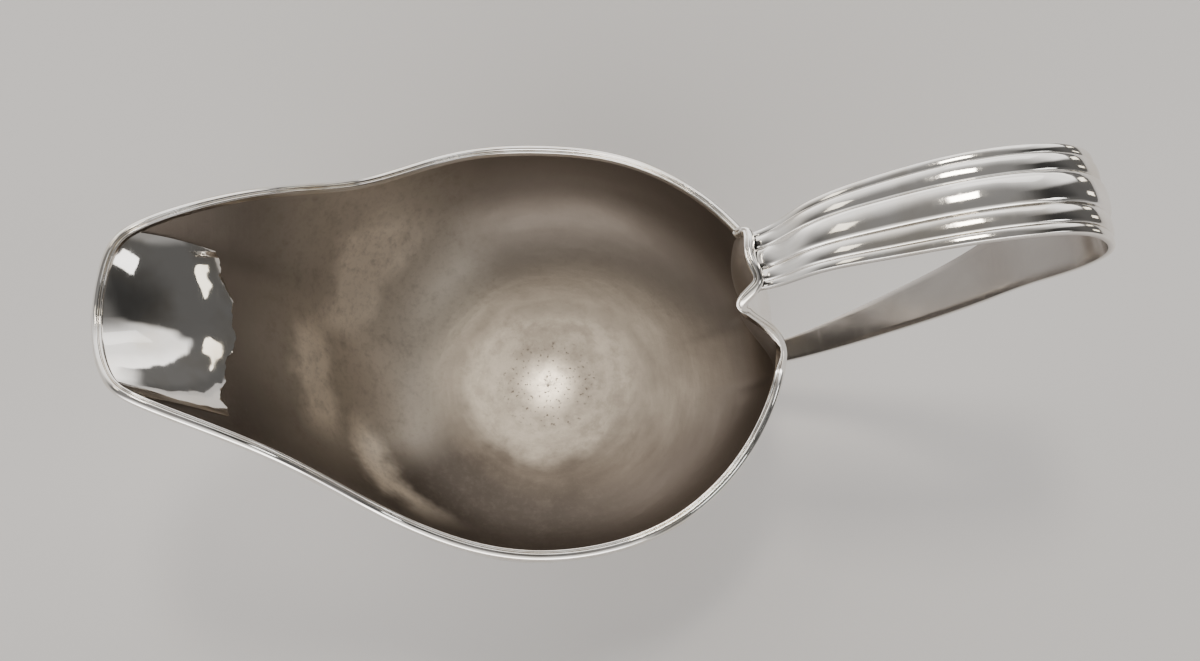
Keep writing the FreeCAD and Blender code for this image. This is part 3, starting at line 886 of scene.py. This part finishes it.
class GRAVY_OT_foot(bpy.types.Operator):
    """Turn the spun foot and the ring it stands on"""
    bl_idname = "gravy_boat.foot"
    bl_label = "Foot and ring"
    bl_options = {"REGISTER", "UNDO"}

    def execute(self, context):
        settings = context.scene.gravy_boat
        foot = settings.foot
        metal = silver("spun_silver", settings, 0.08, None, 0.25)
        for name, node, slot, outline in (
                ("foot_made", "foot", "foot_silver", self.foot_outline(foot)),
                ("foot_ring_made", "foot_ring", "ring_silver", self.ring_outline(foot))):
            start = bpy.data.meshes.new(name + "_outline")
            start.from_pydata([(r, 0.0, z) for r, z in outline], [], [])
            bench, identifiers = self.turning()
            mesh = grown(name, start, bench, identifiers, {"Segments": foot.segments, "Silver": metal})
            finished(name, mesh, node, metal, 35.0)
        return {"FINISHED"}

    def arc(self, centre, radius, start, end, steps):
        turns = np.radians(np.linspace(start, end, steps))
        return [(centre[0] + radius * math.cos(turn), centre[1] + radius * math.sin(turn))
                for turn in turns]

    def foot_outline(self, foot):
        cove = foot.top_radius - foot.neck_radius
        cove_foot = foot.height - cove
        flange = foot.ring_height + foot.wall
        flare = cove_foot - flange
        flare_end = foot.neck_radius + flare
        outline = self.arc((foot.top_radius, cove_foot), cove, 90.0, 180.0, 16)
        outline += self.arc((flare_end, cove_foot), flare, 180.0, 270.0, 18)[1:]
        edge = foot.wall / 2
        outline += self.arc((foot.edge_radius - edge, flange - edge), edge, 90.0, -90.0, 12)
        outline += self.arc((flare_end, cove_foot), flare + foot.wall, 270.0, 180.0, 18)
        outline.append((foot.neck_radius - foot.wall, foot.height))
        return outline

    def ring_outline(self, foot):
        outer = foot.edge_radius + foot.ring_proud
        bead = foot.ring_height / 2
        bore = outer - foot.ring_width
        ease = 0.0003
        outline = self.arc((outer - bead, bead), bead, -90.0, 90.0, 20)
        outline += self.arc((bore + ease, foot.ring_height - ease), ease, 90.0, 180.0, 5)
        outline += self.arc((bore + ease, ease), ease, 180.0, 270.0, 5)
        return outline

    def turning(self):
        """Tree that turns a closed outline of radius and height about the axis."""
        bench = geometry_tree("Turning")
        given, identifiers = bench.group([
            ("Geometry", "NodeSocketGeometry"), ("Segments", "NodeSocketInt"),
            ("Silver", "NodeSocketMaterial")])
        count = bench.node("GeometryNodeAttributeDomainSize", {"component": "MESH"},
                           {0: given["Geometry"]}, "Point Count")
        across = count + 1
        grid = bench.node("GeometryNodeMeshGrid", {},
                          {"Vertices X": given["Segments"] + 1, "Vertices Y": across})
        index = bench.node("GeometryNodeInputIndex", {}, {})
        rounding = 1e-4
        step = (index / across + rounding).math("FLOOR")
        corner = (index - step * across).math("FLOORED_MODULO", count)
        here = bench.node("GeometryNodeInputPosition", {}, {})
        sampled = bench.node("GeometryNodeSampleIndex", {"data_type": "FLOAT_VECTOR"},
                             {"Geometry": given["Geometry"], "Value": here, "Index": corner})
        radius, _, height = bench.axes(sampled)
        turn = step / given["Segments"] * (2.0 * math.pi)
        place = bench.node("ShaderNodeCombineXYZ", {}, {
            0: radius * turn.math("COSINE"), 1: radius * turn.math("SINE"), 2: height})
        turned = bench.node("GeometryNodeSetPosition", {}, {"Geometry": grid, "Position": place})
        turned = bench.node("GeometryNodeMergeByDistance", {}, {"Geometry": turned, "Distance": 1e-6})
        end_tree(bench, turned, given["Silver"])
        return bench, identifiers


# -------- stage

class GRAVY_OT_stage(bpy.types.Operator):
    """Set the table, the lights and the camera"""
    bl_idname = "gravy_boat.stage"
    bl_label = "Table, lights and camera"
    bl_options = {"REGISTER", "UNDO"}

    def execute(self, context):
        settings = context.scene.gravy_boat
        self.table(settings)
        self.room()
        self.lamps()
        self.camera()
        return {"FINISHED"}

    def table(self, settings):
        mesh = bpy.data.meshes.new("table")
        reach = 9.0      # far enough to meet the room in low views
        mesh.from_pydata([(-reach, -reach, 0), (reach, -reach, 0), (reach, reach, 0), (-reach, reach, 0)],
                         [], [(0, 1, 2, 3)])
        material = bpy.data.materials.new("pale_table")
        material.use_nodes = True
        shader = material.node_tree.nodes["Principled BSDF"]
        bench = Bench(material.node_tree)
        place = bench.node("ShaderNodeTexCoord", {}, {}, "Object")
        cloud = bench.noise(place, 6.0, 3.0)
        tint = bench.blend(cloud, solid(settings.silver.floor), solid(settings.silver.floor, 0.96))
        bench.tree.links.new(tint.socket, shader.inputs["Base Color"])
        shader.inputs["Roughness"].default_value = 0.9
        shader.inputs["Specular IOR Level"].default_value = 0.2
        mesh.materials.append(material)
        table = bpy.data.objects.new("table", mesh)
        bpy.context.scene.collection.objects.link(table)

    def room(self):
        """A soft room painted by direction, as the silver sees it: the spout points to its -X end."""
        world = bpy.data.worlds.new("soft_room")
        world.use_nodes = True
        world.node_tree.nodes.clear()
        bench = Bench(world.node_tree)
        direction = bench.node("ShaderNodeTexCoord", {}, {}, "Generated")
        x, y, z = bench.axes(direction)
        # Pale long walls, dim ends, a dim ceiling. It is darkest beyond the handle.
        spout_side = (0.0 - x - 0.40).math("MAXIMUM", 0.0) * 0.6
        around = bench.ramp(z - 0.25 * y.math("ABSOLUTE") + spout_side, 0.42, 0.84, 1.0, 0.0)
        past_handle = (y - 0.26).math("MAXIMUM", 0.0) * bench.ramp(z, 0.24, 0.38)
        handle_side = bench.ramp(x - 1.9 * past_handle, 0.22, 0.48, 1.0, 0.05)
        spout_end = bench.ramp(x, -0.86, -0.60, 0.45, 1.0)
        near_wall = bench.ramp(y, -0.3, 0.3, 4.6, 0.8)
        low_band = bench.ramp(z, 0.02, 0.12) * bench.ramp(z, 0.26, 0.46, 1.0, 0.0)
        long_walls = low_band * bench.ramp(y.math("ABSOLUTE"), 0.30, 0.62) * near_wall
        level = 0.03 + (0.22 + 1.45 * around + long_walls) * handle_side * spout_end
        tint = bench.node("ShaderNodeCombineColor", {}, {0: level, 1: level * 0.975, 2: level * 0.945})
        seen = bench.node("ShaderNodeLightPath", {}, {}, "Is Camera Ray")
        tint = bench.blend(seen, tint, (0.80, 0.79, 0.78, 1.0))
        sky = bench.node("ShaderNodeBackground", {}, {"Color": tint, "Strength": 1.0})
        end = bench.tree.nodes.new("ShaderNodeOutputWorld")
        bench.tree.links.new(sky.socket, end.inputs["Surface"])
        bpy.context.scene.world = world

    def lamps(self):
        """Windows and lamps that only the silver's reflections show: place, size, power and tint."""
        cream = (1.0, 0.92, 0.76)
        white = (1.0, 0.99, 0.97)
        warm = (1.0, 0.93, 0.81)
        self.softbox("overhead", (0.01, 0.46, 1.25), (0.24, 0.24), 3.4, warm)
        self.softbox("high_window", (-0.66, 0.38, 1.05), (0.34, 0.26), 0.7, cream)
        self.softbox("left_pane", (1.00, 0.21, 0.26), (0.10, 0.18), 0.16, cream)
        self.softbox("right_pane", (0.90, 0.50, 0.27), (0.10, 0.18), 0.16, cream)
        self.softbox("near_lamp", (0.61, -0.44, 0.80), (0.26, 0.22), 0.60, white)
        self.softbox("far_sheet", (0.29, 0.78, 0.84), (0.60, 0.30), 0.30, white)

    def softbox(self, name, place, size, power, tint):
        lamp = bpy.data.lights.new(name, "AREA")
        lamp.shape = "RECTANGLE"
        lamp.size, lamp.size_y = size
        lamp.energy = power
        lamp.color = tint
        lamp.diffuse_factor = 0.0
        box = bpy.data.objects.new(name, lamp)
        box.location = place
        box.visible_camera = False
        boat = Vector((0.0, 0.0, 0.04))
        box.rotation_euler = (boat - Vector(place)).to_track_quat("-Z", "Y").to_euler()
        bpy.context.scene.collection.objects.link(box)

    def camera(self):
        """The camera looks down on the boat, from the near side and a little askew."""
        lens = bpy.data.cameras.new("camera")
        lens.sensor_width = 36.0
        lens.lens = 44.25
        lens.clip_start = 0.01
        lens.clip_end = 20.0
        camera = bpy.data.objects.new("camera", lens)
        off_vertical, askew = 22.0, 6.5
        camera.rotation_euler = [math.radians(turn) for turn in (off_vertical, 0.0, -askew)]
        camera.location = (-0.00151, -0.12219, 0.34764)
        bpy.context.scene.collection.objects.link(camera)
        bpy.context.scene.camera = camera


class GRAVY_PT_panel(bpy.types.Panel):
    """Panel in the sidebar of the 3D view"""
    bl_idname = "GRAVY_PT_panel"
    bl_label = "Silver gravy boat"
    bl_space_type = "VIEW_3D"
    bl_region_type = "UI"
    bl_category = "Gravy boat"

    def draw(self, context):
        for operator in OPERATORS:
            self.layout.operator(operator.bl_idname)


GROUPS = [BowlSizes, LinerSizes, WireSizes, StrapSizes, FootSizes, SilverFinish, BoatSettings]
OPERATORS = [GRAVY_OT_bowl, GRAVY_OT_liner, GRAVY_OT_wire, GRAVY_OT_strap, GRAVY_OT_foot, GRAVY_OT_stage]


def register():
    for item in GROUPS + OPERATORS + [GRAVY_PT_panel]:
        bpy.utils.register_class(item)
    bpy.types.Scene.gravy_boat = PointerProperty(type=BoatSettings)


def unregister():
    del bpy.types.Scene.gravy_boat
    for item in reversed(GROUPS + OPERATORS + [GRAVY_PT_panel]):
        bpy.utils.unregister_class(item)


def main():
    register()
    bpy.ops.gravy_boat.bowl()
    bpy.ops.gravy_boat.liner()
    bpy.ops.gravy_boat.wire()
    bpy.ops.gravy_boat.strap()
    bpy.ops.gravy_boat.foot()
    bpy.ops.gravy_boat.stage()


if __name__ == "__main__":
    main()
